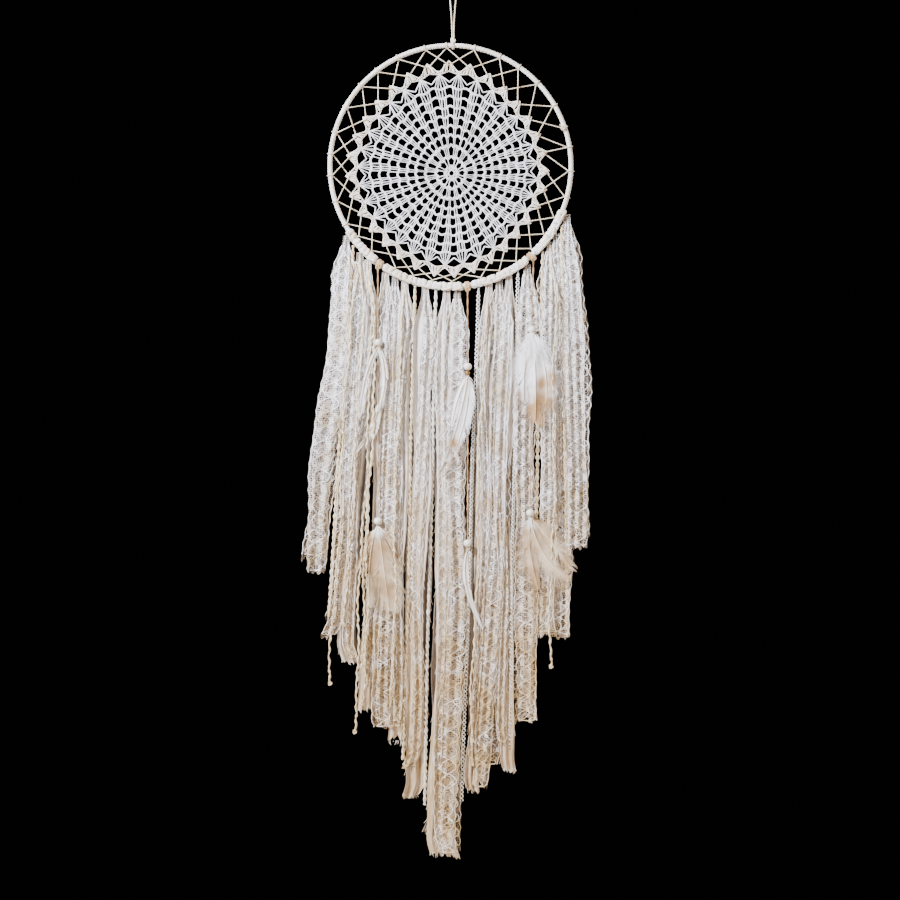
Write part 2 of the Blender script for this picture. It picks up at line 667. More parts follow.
rings = [ring(s, a, n) for s, a, n in zip(ring_share, circle, round_holes + [fans])]
rings.append(tube(doily_at(hub_share, np.linspace(0, 2 * np.pi, 60)), 0.9, 8, plies=2, pitch=4.0))


def round_of_stitches(i):
    """Stitches of one round: they share out the angle between two holes evenly."""
    radius = mean_r * round_at[i]
    gap = 2 * np.pi / round_holes[i]
    room = gap - 2 * min(1.4 + 2.2 * round_at[i], 3.0) / radius
    place = (np.arange(group_size[i]) + 0.5) / group_size[i] - 0.5
    off = chance.normal(0, 0.009, (round_holes[i], 1))
    a = fan_angle[0] + gap * (np.arange(round_holes[i])[:, None] + 0.5) + place * room + off
    wide = min(room * radius / group_size[i] / 2 * 0.68, 0.95)
    return stitches(ring_share[i], a, ring_share[i + 1], a, wide)


spokes = np.linspace(0, 2 * np.pi, hub_stitches + 1)[:-1]
tall = [round_of_stitches(i) for i in range(len(round_holes))]
tall.append(stitches(hub_share, spokes, ring_share[0], spokes, 0.8, 8))
build("doily_rings", rings, crochet_cotton, "hoop", "doily")
build("doily_tall_stitches", tall, crochet_cotton, "hoop")
print("triangles:", made["doily_rings"], made["doily_tall_stitches"])

# %% Petals, fans and edge
between = fan_angle + step / 2
lean = np.radians(np.array([-4.5, -2.25, 0, 2.25, 4.5]))
petal = stitches(ring_share[-1], between[:, None] + lean, 0.885 - 0.35 * np.abs(lean),
                 between[:, None] + 0.28 * lean, 0.78)
spread = np.radians(np.linspace(-3.1, 3.1, 6))


def outline(off):
    """Share of the way out at which a fan ends, for an angle off its middle."""
    return np.interp(np.abs(np.degrees(off)), [0, 0.9, 3.4, 5.7], [1.0, 0.985, 0.93, 0.9])


shell = stitches(0.908 - 0.12 * np.abs(spread), fan_angle[:, None] + spread, outline(0.4 * spread) - 0.006,
                 fan_angle[:, None] + 0.4 * spread, 1.1)


def chain(share, off, half=0.6, r=0.5, at=fan_angle):
    """A braided chain through corners given by share and angle off each fan's middle."""
    along = np.linspace(0, len(share) - 1, 8 * (len(share) - 1) + 1)
    s = np.interp(along, np.arange(len(share)), share)
    a = np.radians(np.interp(along, np.arange(len(share)), off))
    return braid(doily_at(s, at[:, None] + a), half, r, 4.2)


tips = chain([0.91, 0.913, 0.928, 0.985, 1.0, 0.985, 0.928, 0.913, 0.91],
             [-5.62, -4.7, -3.6, -0.8, 0, 0.8, 3.6, 4.7, 5.62], 0.45, 0.42)
bases = chain([0.886, 0.893, 0.91, 0.893, 0.886], [-5.62, -3.4, 0, 3.4, 5.62], 0.45, 0.42)
zigzag = chain([0.885, 0.862, 0.812, 0.862, 0.885], [-5.62, -4.1, 0, 4.1, 5.62], 0.5, 0.45)
joins = stitches(0.88, between, 0.912, between, 0.7)
loops = np.linspace(0, 2 * np.pi, 14)
picot_mid = doily_at(0.899, np.stack([between - 0.02, between + 0.02]).ravel())[:, None]
picots = tube(picot_mid + 1.35 * np.stack([np.cos(loops), 0 * loops, np.sin(loops)], -1), 0.48, 6)
build("doily_petals", [petal, zigzag], crochet_cotton, "hoop")
build("doily_fans", [shell, tips, bases, joins, picots], fan_cotton, "hoop")
print("triangles:", made["doily_petals"], made["doily_fans"])

# %% [markdown]
# ## Lacing
#
# One long cream twine holds the doily in the hoop. It comes out of a fan's tip, goes behind the
# hoop, over it, and down into the tip after next, twice round, so the legs cross in pairs. It is
# pulled tight and tied at both ends, so it is part of the web and not a free cord.

# %% Lacing route
slot_step = np.degrees(slot_angle[1] - slot_angle[0])
eye_share, lace_y, lace_r = 0.965, 1.8, 0.72
lace_at = wrap_r + lace_r + 0.05
wrap_turn = np.radians([145, 97, 49, 0, -49, -97, -145])
first_eye = 8
# How far a fringe knot reaches from the ring's middle, and the twine's way round inside it
knot_r = 5.15
knot_edge = tube_r - knot_r - lace_r - 0.6


def wraps():
    """For each fan, the angle on the hoop at which the twine goes over it: in line with the fan's
    eye, a little uneven, and moved to the nearest space between two knots on the lower half."""
    eye = doily_at(eye_share, fan_angle) - hoop_mid
    uneven = 1.1 * np.sin(np.radians(97 * np.arange(1, fans + 1)))
    a = np.degrees(np.arctan2(eye[:, 2], eye[:, 0])) + uneven
    a = np.where(a < 0, a + 360, a)
    s = (a - first_knot) / slot_step
    free = (s < -0.6) | (s > len(slot_kind) - 0.4)
    return np.where(free, a, first_knot + (np.floor(s) + 0.5) * slot_step)


wrap_angle = wraps()


def wrap_points(k):
    """One turn over the hoop, and where it meets the fringe a point inside the knots on both sides."""
    a = wrap_angle[k]
    turn = on_hoop(np.radians(a + 0.15 * (1 - np.arange(7) / 3)), wrap_turn, lace_at)
    if not first_knot - 5 < a < last_knot + 5:
        return turn
    ends = [in_plane(knot_edge * np.cos(b), y, knot_edge * np.sin(b))
            for b, y in ((np.radians(a + 0.15), lace_y), (np.radians(a - 0.15), -lace_y))]
    return np.concatenate([ends[:1], turn, ends[1:]])


def lacing_route():
    """Eyes and turns in the order that the twine visits them: every second fan, twice round."""
    order = [(first + 2 * s) % fans for first in (first_eye, first_eye - 1) for s in range(fans // 2)]
    legs = []
    for n, k in enumerate(order):
        eye = doily_at(eye_share, fan_angle[k])
        legs.append([eye - [0, lace_y, 0], eye + [0, lace_y, 0]])
        over = wrap_points((k + 1) % fans)
        legs.append(over if n < fans - 1 else over[:6])
    return np.concatenate(legs)


lacing_path = rounded(lacing_route(), 0.7, 0.9)
build("lacing_twine", [tube(lacing_path, lace_r, 8, plies=2, pitch=3.6)], lacing_twine,
      "hoop", "lacing_cord")
print("twine, mm:", round(lengths(lacing_path)[-1]))

# %% Ends of the twine
def twine_end(place, way, tail):
    """An overhand knot at the twine's end, with a short cut tail."""
    t = np.linspace(0, 1, 16)[:, None]
    stray = place + way * t * tail + np.array([0.8, -0.6, 0]) * np.sin(3 * t) * 2
    return [knotted(place, 2.4, 0.8), tube(stray, 0.7, 8, plies=2, pitch=3.2)]


ends = twine_end(lacing_path[0] - [0, 2.2, 0], np.array([0.5, 0, -0.9]), 7) \
    + twine_end(lacing_path[-1] + 2.2 * unit(lacing_path[-1] - lacing_path[-3]), np.array([-0.7, 0, 0.6]), 6)
build("lacing_twine_knots", ends, lacing_twine, "hoop", "lacing_knots")
print("knots: 2")

# %% [markdown]
# ## Knots of the fringe
#
# Each strip is tied with a lark's head: the folded middle goes over the hoop, and both tails are
# pulled through it. What shows is a soft lump: two pleated rolls of cloth over the hoop, side by
# side, and a bar of cloth across them in front. All the knots of one material are one piece.

# %% Cloth of the fringe
# Thick viscose thread of the lace: white and soft, warmer towards the foot of the fringe
lace_white = fibre("lace_viscose_thread", "#fcfcff", "#d6bb88", 0.7, 0.35, 0.8, 0.2, patch_mm=30, most=0.16)
# Satin rolled up in a knot and its loose threads: creamy, with a faint shine
satin_white = fibre("crinkled_polyester_satin", "#f4ebdc", "#d9c5a6", 0.5, 0.35, 1.4, 0.35, patch_mm=40,
                    most=0.1)


def lark_knots(which, roll_w, roll_h, pleats):
    """Two rolls and a bar for each knot. A roll is a ring round the hoop with an oval section,
    width w along the hoop and height h off it, and pleats: 1 + 0.13 sin(pleats angle + 1.5 turn) +
    0.08 sin(2 turn). The bar is an oval tube across the rolls that closes at both ends,
    r = r0 (1 - x^4)^(1/2)."""
    a = slot_angle[which][:, None, None, None] + np.array([-1, 1])[:, None, None] * 0.48 * roll_w / tube_r
    turn = np.linspace(0, 2 * np.pi, 30, endpoint=False)[:, None]
    round_it = np.linspace(0, 2 * np.pi, 16, endpoint=False)
    vary = chance.uniform(0, 6, (len(which), 2, 1, 1))
    fold = 1 + 0.13 * np.sin(pleats * round_it + 1.5 * turn + vary) + 0.08 * np.sin(2 * turn + vary)
    d = wrap_r + roll_h * 0.42 + roll_h / 2 * np.sin(round_it) * fold
    rolls = on_hoop(a + roll_w / 2 * np.cos(round_it) * fold / tube_r + 0.008 * np.sin(turn + vary), turn, d)
    rolls = np.concatenate([rolls, rolls[..., :1, :, :]], -3)
    x = np.linspace(-1, 1, 15)[:, None]
    tilt = chance.normal(0, 0.3, (len(which), 1, 1))
    fold = 1 + 0.12 * np.sin(4 * round_it + 3 * x + vary[:, 0])
    r = 0.55 * roll_h * np.sqrt(1 - x ** 4 + 0.0004) * fold
    bar_turn = np.radians(-52) + tilt * x + r * np.cos(round_it) / (wrap_r + roll_h * 0.9)
    bars = on_hoop(slot_angle[which][:, None, None] + x * roll_w * 1.02 / tube_r, bar_turn,
                   wrap_r + roll_h * 0.82 + r * np.sin(round_it))
    angle = np.arange(17) / 16 * 8
    return [surface(rolls, np.linspace(0, 30, 31), angle, closed=True),
            surface(bars, np.linspace(0, 9, 15), angle, closed=True, capped=True)]


# The knot of a feather string sits outside the hoop and in front of it
ball_out, ball_y = 4.5, -5.5
for kind, node, roll_w, roll_h, pleats, finish, slot in (
        ("L", "lace_knots", 6.5, 2.5, 5, satin_white, "tulle_lace"),
        ("S", "satin_knots", 6.6, 2.6, 4, satin_white, "satin_strip"),
        ("Y", "yarn_knots", 6.3, 2.2, 3, white_boucle, "boucle_yarn"),
        ("F", "string_knots", 3.4, 2.2, 2, tan_twine, "tan_cord")):
    which = np.array([k for k, is_kind in enumerate(slot_kind) if is_kind == kind])
    patches = lark_knots(which, roll_w, roll_h, pleats)
    if kind == "F":
        out = tube_r + ball_out
        patches += [knotted(in_plane(out * np.cos(b), ball_y, out * np.sin(b)), 2.9, 1.1)
                    for b in slot_angle[which]]
    build(node + "_tied", patches, finish, "hoop", node)
    print(node, len(which))

# %% [markdown]
# ## Lace
#
# The lace is a fine viscose net with leaves and rings worked into it and thick cords laid along
# them. The net's threads are thinner than anything the eye can follow from across a room, so the
# net is a material: it is clear except along the edges of small cells, and denser inside the leaves.
# The thick cords do cast shadows and make the lace sparkle, so they are real tubes that follow the
# same surface as the net. A strip hangs in two tails, and the back one is beige, which gives the
# white lace in front of it something darker to stand out from.

# %% Net material
def net(name, light, dark, cell_mm, leaf_mm, top_z, low_z):
    """A net whose alpha is one near the edges of its cells and inside its leaves. Both are cell
    patterns of the flat map: distance to the edge for the threads, distance to the middle for the
    leaves. Its colour warms from light at height top_z to dark at low_z, in metres."""
    material, tree, shader = blank(name)
    place = add(tree, "TexCoord").outputs
    cells = add(tree, "TexVoronoi", {"Vector": place["UV"], "Scale": 1 / cell_mm, "Randomness": 0.55},
                voronoi_dimensions="2D", feature="DISTANCE_TO_EDGE")
    thread = add(tree, "Math", {0: cells.outputs["Distance"], 1: 0.1}, operation="LESS_THAN")
    slim = add(tree, "Mapping", {"Vector": place["UV"], "Scale": (1.5, 0.8, 1)})
    leaves = add(tree, "TexVoronoi", {"Vector": slim.outputs["Vector"], "Scale": 1 / leaf_mm,
                                      "Randomness": 0.8}, voronoi_dimensions="2D")
    leaf = add(tree, "MapRange", {"Value": leaves.outputs["Distance"], "From Min": 0.34, "From Max": 0.26,
                                  "To Min": 0.06, "To Max": 0.75})
    either = add(tree, "Math", {0: thread.outputs["Value"], 1: leaf.outputs["Result"]}, operation="MAXIMUM")
    drift = add(tree, "TexNoise", {"Vector": place["Object"], "Scale": 28.0})
    ramp = add(tree, "ValToRGB", {"Fac": by_height(tree, place, drift.outputs["Fac"], top_z, low_z, 0.4)})
    ramp.color_ramp.elements[0].color, ramp.color_ramp.elements[1].color = linear(dark), linear(light)
    tree.links.new(ramp.outputs["Color"], shader.inputs["Base Color"])
    tree.links.new(either.outputs["Value"], shader.inputs["Alpha"])
    shader.inputs["Roughness"].default_value = 0.75
    shader.inputs["Sheen Weight"].default_value = 0.3
    return material


net_cell = 2.6
# Front tails: white lace that warms to beige at its foot
lace_net = net("viscose_lace_net", "#eeeef1", "#a98a5e", net_cell, 13.0, -0.25, -0.85)
# Back tails: beige lace, darker in the shade of the front ones
shaded_net = net("viscose_lace_net_beige", "#a0968b", "#735a3c", net_cell, 11.0, -0.25, -0.85)
print("net cell in mm:", net_cell)

# %% [markdown]
# ### How a strip hangs
#
# A strip is bunched to a few millimetres in its knot and opens below it. It hangs in soft pleats,
# which are a sine across its width. The pleats deepen downwards, wander sideways and turn a little,
# the middle line leans from knot to foot, and the foot flares, swings aside and curls. One function
# gives the place of any point of the strip, so the cloth, the cords on it and its cut ends agree.


# %% The surface of a strip
def smooth(t):
    """Rises from 0 to 1 with level ends: 3 t^2 - 2 t^3."""
    t = np.clip(t, 0, 1)
    return t * t * (3 - 2 * t)


# Millimetres: width of a strip in its knot, how far below it is fully open, and how high its foot is
bunched_w, opens_over, foot_h = 8.5, 52, 38
# Depth of a front and of a back tail, and how much further back every second strand hangs
tail_depth, second_back = (-4.4, 1.2), 3.8


def strip_facts(k, side, wide):
    """What makes one tail different: its depth in the fringe, its side shift, pleats and turns, its
    cut, and how its foot flares, swings and curls. The outermost strands keep to straight feet."""
    own = np.random.default_rng(100 * k + side)
    outer = k in (0, len(slot_kind) - 1)
    layer = tail_depth[side] + (second_back if k % 2 else 0.0)
    return {
        "k": k, "depth": layer + own.normal(0, 0.3), "shift": (-1, 1)[side] * own.uniform(2.5, 6.5),
        "wide": wide * (1.2 if outer else own.uniform(0.8, 1.3)),
        "pleats": own.uniform(1.7, 3.3), "phase": own.uniform(0, 6.3),
        "drift": own.uniform(-1.6, 1.6), "turn": own.uniform(0.12, 0.4), "spin": own.uniform(0, 6.3),
        "end": slot_end[k] - (0 if side == 0 else own.uniform(3, 26)), "sway": own.uniform(1.5, 4.2),
        "slant": own.uniform(-15, 15), "notch": own.choice([0.0, 0.0, 9.0]),
        "flare": own.uniform(-0.3, 0.0 if outer else 0.55),
        "kick": own.uniform(-9, 9) * (not outer), "curl": own.uniform(0, 3.5),
    }


def strip_point(f, u, down):
    """A point of the strip at share u across it and a distance down from its knot.
    Across: width times (u - 1/2), turned by a slow sine. In depth: a sine of the pleats times u.
    Over the last stretch the foot's share grows from 0 to 1: the width is multiplied by
    1 + flare foot, the point moves aside by kick foot^2 and up by curl foot^2 (2u - 1)^2."""
    top = throat(f["k"])
    full = smooth(down / opens_over)
    z = top[1] - down
    near = np.clip(down / 9, 0, 1)
    foot = smooth((down - strip_length(f) + foot_h) / foot_h)
    waver = 1 + 0.14 * np.sin(down / 47 + f["spin"]) + 0.08 * np.sin(down / 14 + 2 * f["phase"])
    width = bunched_w + (f["wide"] - bunched_w) * full * waver * (1 + f["flare"] * foot)
    phase = f["phase"] + f["drift"] * down / 130 + 0.5 * np.sin(down / 39 + f["spin"])
    pleat = np.sin(2 * np.pi * f["pleats"] * u + phase)
    flat = width * (u - 0.5) + 0.5 * full * np.sin(4 * np.pi * f["pleats"] * u + 2 * phase)
    deep = (1.3 + 1.0 * full) * pleat + 0.35 * full * np.sin(down / 13 + 9 * u + f["spin"])
    turn = f["turn"] * np.sin(down / 95 + f["spin"]) * full
    sway = np.sin(down / 71 + f["phase"]) + 0.5 * np.sin(down / 37 + f["spin"])
    x = middle_x(f["k"], z) + (f["shift"] * np.cos(down / 190 + f["phase"]) + f["sway"] * sway) * full
    x = x + flat * np.cos(turn) - deep * np.sin(turn) + f["kick"] * foot ** 2
    y = f["depth"] * smooth(down / 90) + (flat * np.sin(turn) + deep * np.cos(turn)) * (0.4 + 0.6 * near)
    return in_plane(x, y, z + f["curl"] * foot ** 2 * (2 * u - 1) ** 2)


def strip_length(f):
    """A tail's drop from its throat to its foot."""
    return throat(f["k"])[1] + f["end"]


def strip_cloth(f, columns, step, flat_wide):
    """The strip as a grid: even shares across, even steps down, with the last rows drawn out or in
    to the cut at its foot. The cut is slant (u - 1/2) - notch (1 - 2 |u - 1/2|) and two short
    sines that make it ragged."""
    length = strip_length(f)
    u = np.linspace(0, 1, columns)
    down = np.linspace(-4.0, length, int(length / step))[:, None]
    ragged = 1.6 * np.sin(23 * u + f["phase"]) + 1.1 * np.sin(41 * u + f["spin"])
    cut = f["slant"] * (u - 0.5) - f["notch"] * (1 - 2 * np.abs(u - 0.5)) + ragged - 2.7
    reach = down + (cut - abs(f["slant"]) / 2) * smooth((down - length + 60) / 60)
    return surface(strip_point(f, u, reach), down[:, 0], u * flat_wide)


def on_strip(f, u, down):
    """A point of the strip that is never lower than its cut."""
    return strip_point(f, u, np.minimum(down, strip_length(f) - 6 - abs(f["slant"]) / 2))


print("strips are ready to hang")

# %% Lace strips
# Flat width of a lace strip, the width at which it hangs when open, and a ring's reach across it
lace_flat, lace_hangs = 31.0, 23.5
ring_reach = 16


def laid_cords(f):
    """Cords laid on the net: two along the edges in scallops, two that swing across the strip and
    cross each other in leaf shapes, and one thin vine. Each is u = u0 + a sin(down / wave + swing),
    and the three inner ones also wander a little: a sine of down / 17 is added to a."""
    down = np.arange(8.0, strip_length(f) - 2, 1.25)
    paths = []
    for u0, a, wave, swing in ((0.03, 0.03, 2.6, 0), (0.97, 0.03, 2.6, 1.5), (0.5, 0.40, 5.6, f["phase"]),
                               (0.5, -0.40, 5.6, f["phase"]), (0.5, 0.20, 3.7, f["spin"])):
        wander = 0.05 * np.sin(down / 17 + swing + 5 * u0)
        u = u0 + (a + wander * (0.03 < u0 < 0.97)) * np.sin(down / wave + swing)
        paths.append(on_strip(f, u, down))
    return tube(np.stack(paths), np.array([[0.5], [0.5], [0.62], [0.62], [0.42]]), 4)


def laid_rings(f, own):
    """Small rings worked into the cells between the cords: ovals of the flat map, 2 to 4 mm wide."""
    many = int(strip_length(f) / 9)
    down = np.linspace(30, strip_length(f) - 10, many)[:, None] + own.uniform(-3, 3, (many, 1))
    u = own.uniform(0.15, 0.85, (many, 1))
    t = np.linspace(0, 2 * np.pi, 11)
    r = own.uniform(1.1, 2.2, (many, 1))
    stretch = own.uniform(1.0, 1.7, (many, 1))
    return tube(on_strip(f, u + r * np.cos(t) / ring_reach, down + stretch * r * np.sin(t)), 0.45, 4)


def hang(piece, k):
    """The piece follows the hoop above the strand's hinge and the strand below it."""
    top = throat(k)
    hinge = in_plane(top[0], 0, top[1]) * MM
    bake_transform(piece)


# Length of each tail's half of the cloth in the knot
in_knot = 10


def lace_strip(k):
    """One strip of lace folded over the hoop: two tails of net, and the cords laid on them."""
    own = np.random.default_rng(k)
    tails = [strip_facts(k, side, lace_hangs) for side in (0, 1)]
    looks = zip(tails, ("net", "net_behind"), (lace_net, shaded_net), (strand_name(k), None))
    cloth, behind = (build(f"{strand_name(k)}_{name}", [strip_cloth(f, 19, 3.2, lace_flat)], finish,
                           node=node) for f, name, finish, node in looks)
    laid = [laid_cords(f) for f in tails] + [laid_rings(f, own) for f in tails]
    cords = build(f"{strand_name(k)}_cords", laid, lace_white)
    for piece in (cloth, behind, cords):
        hang(piece, k)
    return sum(strip_length(f) + in_knot for f in tails)


print("lace strips, mm:", [round(lace_strip(k)) for k, kind in enumerate(slot_kind) if kind == "L"])

# %% [markdown]
# ## Satin and muslin
#
# Between the lace hang plain strips of thin crinkled satin. They are torn, not hemmed, so their
# edges fray and their ends are ragged. The crinkles are too fine for the grid and go into the bump;
# the pleats are in the mesh. The back tail is beige, and a narrow tail of lace hangs in front.

# %% Satin material
def crinkled(name, light, dark, top_z, low_z):
    """Thin satin: colour warms downwards and drifts in long streaks, crinkles run down the strip."""
    material, tree, shader = blank(name)
    place = add(tree, "TexCoord").outputs
    long_way = add(tree, "Mapping", {"Vector": place["UV"], "Scale": (0.45, 0.03, 1)})
    streaks = add(tree, "TexNoise", {"Vector": long_way.outputs["Vector"], "Scale": 1.0, "Detail": 4.0},
                  noise_dimensions="2D")
    ramp = add(tree, "ValToRGB", {"Fac": by_height(tree, place, streaks.outputs["Fac"], top_z, low_z, 0.4)})
    ramp.color_ramp.elements[0].color, ramp.color_ramp.elements[1].color = linear(dark), linear(light)
    fine = add(tree, "Mapping", {"Vector": place["UV"], "Scale": (1.1, 0.12, 1)})
    crinkle = add(tree, "TexNoise", {"Vector": fine.outputs["Vector"], "Scale": 1.0, "Detail": 5.0},
                  noise_dimensions="2D")
    bump = add(tree, "Bump", {"Height": crinkle.outputs["Fac"], "Strength": 0.8, "Distance": 0.0012})
    tree.links.new(ramp.outputs["Color"], shader.inputs["Base Color"])
    tree.links.new(bump.outputs["Normal"], shader.inputs["Normal"])
    shader.inputs["Roughness"].default_value = 0.48
    shader.inputs["Sheen Weight"].default_value = 0.4
    shader.inputs["Alpha"].default_value = 0.93
    return material


# Front tails: white satin with a soft shine, dyed beige towards the foot
satin = crinkled("crinkled_satin_strip", "#f4f3f4", "#b0905f", -0.25, -0.88)
# Back tails: the same cloth in beige
beige_satin = crinkled("crinkled_satin_strip_beige", "#b3a89c", "#7d6242", -0.25, -0.88)
# Flat and hanging widths of a satin strip and of the narrow lace tail in front of it
satin_flat, satin_hangs = 24.0, 18.0
narrow_flat, narrow_hangs = 17.0, 13.0
# Loose threads of a tail, and a drop that is past any foot
edge_threads, foot_threads = 46, 14
past_foot = 1e4
print("satin strips are", satin_flat, "mm wide")


# %% Satin strips
def frayed(f, own):
    """Loose warp threads along the edges and at the foot: short curves that leave the cloth."""
    down = own.uniform(40, strip_length(f) - 14, (edge_threads, 1))
    edge = own.choice([0.0, 1.0], (edge_threads, 1))
    t = np.linspace(0, 1, 7)
    start = on_strip(f, edge, down + 7 * t)
    start[..., 0] += (edge - 0.5) * 5.0 * own.uniform(0.3, 1, (edge_threads, 1)) * t ** 2
    start[..., 1] += own.normal(0, 0.8, (edge_threads, 1)) * t
    foot = own.uniform(0, 1, (foot_threads, 1))
    hanging = on_strip(f, foot, past_foot + 0 * t)
    hanging[..., 2] -= own.uniform(1, 7, (foot_threads, 1)) * t
    hanging[..., 0] += own.normal(0, 1.2, (foot_threads, 1)) * t ** 2
    return tube(np.concatenate([start, hanging]), 0.22, 4)


def lace_over(k, own):
    """A single narrow tail of lace tied into the satin's knot, in front of it."""
    f = strip_facts(k, 0, narrow_hangs)
    f.update(depth=f["depth"] - 2.6, phase=f["phase"] + 2, shift=-f["shift"], turn=0.3,
             end=f["end"] - own.uniform(0, 40))
    net_piece = build(f"{strand_name(k)}_lace_net", [strip_cloth(f, 13, 3.2, narrow_flat)], lace_net)
    cords = build(f"{strand_name(k)}_lace_cords", [laid_cords(f), laid_rings(f, own)], lace_white)
    hang(net_piece, k)
    hang(cords, k)


def satin_strip(k):
    """One strip of satin folded over the hoop: two tails and their frayed threads."""
    own = np.random.default_rng(k)
    lace_over(k, own)
    tails = [strip_facts(k, side, satin_hangs) for side in (0, 1)]
    looks = zip(tails, ("satin", "satin_behind"), (satin, beige_satin), (strand_name(k), None))
    cloth, behind = (build(f"{strand_name(k)}_{name}", [strip_cloth(f, 25, 2.6, satin_flat)], finish,
                           node=node) for f, name, finish, node in looks)
    threads = build(f"{strand_name(k)}_frayed", [frayed(f, own) for f in tails], satin_white)
    for piece in (cloth, behind, threads):
        hang(piece, k)
    return sum(strip_length(f) + in_knot for f in tails)


print("satin strips, mm:", [round(satin_strip(k)) for k, kind in enumerate(slot_kind) if kind == "S"])

# %% [markdown]
# ## Loose golden yarns
#
# A few strands of golden boucle are tied into knots beside the lace. They hang in front of it, each
# a single lumpy strand that wanders as it falls and ends in a small knot.

# %% Golden yarns
# The slot that each golden yarn hangs by, its shift aside and how far below the hoop's middle it ends
golden = ((2, -7, 631), (2, 8, 560), (3, 9, 690), (3, 14, 610), (5, -10, 655), (7, -4, 640), (15, -5, 700),
          (22, 7, 610))
golden_d, golden_y = 2.2, -10.5


def golden_yarn(n, k, shift, foot):
    """The middle line is the strand's own line, moved aside by the shift and three sines."""
    top = throat(k)
    z = np.arange(top[1], -foot, -1.0)
    down = top[1] - z
    free = smooth(down / 70)
    wander = shift + 1.8 * np.sin(down / 43 + n) + np.sin(down / 16 + 2 * n) + 0.6 * np.sin(down / 2.3 + n)
    path = in_plane(middle_x(k, z) + wander * free, golden_y * free + 0.5 * np.sin(down / 29), z)
    lumps = 0.5 + 0.5 * np.sin(down / 1.7 + 3 * np.sin(down / 9 + n)) * np.sin(down / 6.1 + n)
    piece = build(f"golden_yarn_{n + 1}", [tube(path, 0.75 + 0.95 * lumps, 8, plies=3, depth=0.22, pitch=2.9),
                                           knotted(path[-1], 2.1, 0.75)], cream_boucle)
    hang(piece, k)
    return round(lengths(path)[-1])


print("golden yarns, mm:", [golden_yarn(n, *facts) for n, facts in enumerate(golden)])

# %% [markdown]
# ## Beads
#
# The white beads are turned wood under a satin lacquer, and the gilt one under the middle bead is
# ribbed brass. Both are a profile spun round the cord: the outside is a squashed ball, which turns
# in at the ends and runs back as the bore, so each is one closed surface.

# %% Beads
def lacquered(name, light, dark, metallic, roughness):
    """Lacquer or metal with cloudy colour and tiny dents, 2 mm apart."""
    material, tree, shader = blank(name)
    place = add(tree, "TexCoord").outputs
    cloud = add(tree, "TexNoise", {"Vector": place["Object"], "Scale": 160.0})
    ramp = add(tree, "ValToRGB", {"Fac": cloud.outputs["Fac"]})
    ramp.color_ramp.elements[0].color, ramp.color_ramp.elements[1].color = linear(dark), linear(light)
    dents = add(tree, "TexNoise", {"Vector": place["Object"], "Scale": 500.0})
    bump = add(tree, "Bump", {"Height": dents.outputs["Fac"], "Strength": 0.25, "Distance": 0.0003})
    tree.links.new(ramp.outputs["Color"], shader.inputs["Base Color"])
    tree.links.new(bump.outputs["Normal"], shader.inputs["Normal"])
    shader.inputs["Roughness"].default_value = roughness
    shader.inputs["Metallic"].default_value = metallic
    return material


# Turned wood under satin lacquer: warm white with a soft highlight
white_lacquer = lacquered("lacquered_white_wood", "#f6f0e4", "#e3d8c6", 0.0, 0.32)
# Cast brass, worn: dull gold with darker clouds
worn_brass = lacquered("ribbed_brass", "#c79a5a", "#8d6434", 1.0, 0.34)


def spun_bead(middle, r, bore, ribs):
    """Profile by angle t: outside r sin t from the axis and 0.93 r cos t along it, never nearer than
    the bore, then straight back through the bore. Ribs are a small sine of the profile's angle."""
    lip = np.arcsin(bore / r)
    t = np.linspace(lip, np.pi - lip, 26)
    out = r * np.sin(t) * (1 + (0.05 * np.cos(ribs * t) if ribs else 0))
    up = 0.93 * r * np.cos(t)
    back = np.linspace(up[-1], up[0], 8)[1:-1]
    rim = np.concatenate([out, np.full(6, bore)]), np.concatenate([up, back])
    turn = np.linspace(0, 2 * np.pi, 36, endpoint=False)[:, None]
    points = middle + np.stack([rim[0] * np.cos(turn), rim[0] * np.sin(turn), rim[1] + 0 * turn], -1)
    points = np.concatenate([points, points[:1]])
    return surface(points, np.linspace(0, 6.3 * r, 37), np.linspace(0, 3 * r, 33), closed=True)


bead_bore_r = 1.35
gilt_ribs = 12
beads = [f"{name}_{part}_bead" for name in string_names for part in ("upper", "lower")] + ["middle_gilt_bead"]
for node in beads:
    gilt = "gilt" in node
    body = node.split("_")[0] + ("_lower_string" if "lower" in node else "_feather_string")
    low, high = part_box(node)
    profile = spun_bead(bead_middle(node), (high.x - low.x) * 500, bead_bore_r, gilt_ribs if gilt else 0)
    build(node + "_spun", [profile], worn_brass if gilt else white_lacquer,
          body, node)
print("beads:", len(beads))

# %% [markdown]
# ## Feathers
#
# A feather is a tapering shaft with a vane on each side. A vane looks like a sheet, but it is made
# of barbs lying side by side, and it splits where they part. So each vane is a row of narrow
# ribbons that leave the shaft at a slant and curve towards its tip. Near the bead the barbs are
# down: long, thin and curly. Bird feathers scatter light through them, so the barbs are slightly
# clear.


# %% Feather materials
def barb(name, light, dark, alpha, top_z=0.0, low_z=-1.0, most=0.0):
    """Dyed barbs: colour drifts along the feather in soft patches and stays matt. With most, the dye
    is light at the height top_z and dark at low_z."""
    material, tree, shader = blank(name)
    place = add(tree, "TexCoord").outputs
    drift = add(tree, "TexNoise", {"Vector": place["Object"], "Scale": 34.0, "Detail": 2.0})
    shade = by_height(tree, place, drift.outputs["Fac"], top_z, low_z, most)
    ramp = add(tree, "ValToRGB", {"Fac": shade})
    ramp.color_ramp.elements[0].position, ramp.color_ramp.elements[1].position = 0.38, 0.62
    ramp.color_ramp.elements[0].color, ramp.color_ramp.elements[1].color = linear(dark), linear(light)
    tree.links.new(ramp.outputs["Color"], shader.inputs["Base Color"])
    shader.inputs["Roughness"].default_value = 0.6
    shader.inputs["Sheen Weight"].default_value = 0.5
    shader.inputs["Alpha"].default_value = alpha
    return material


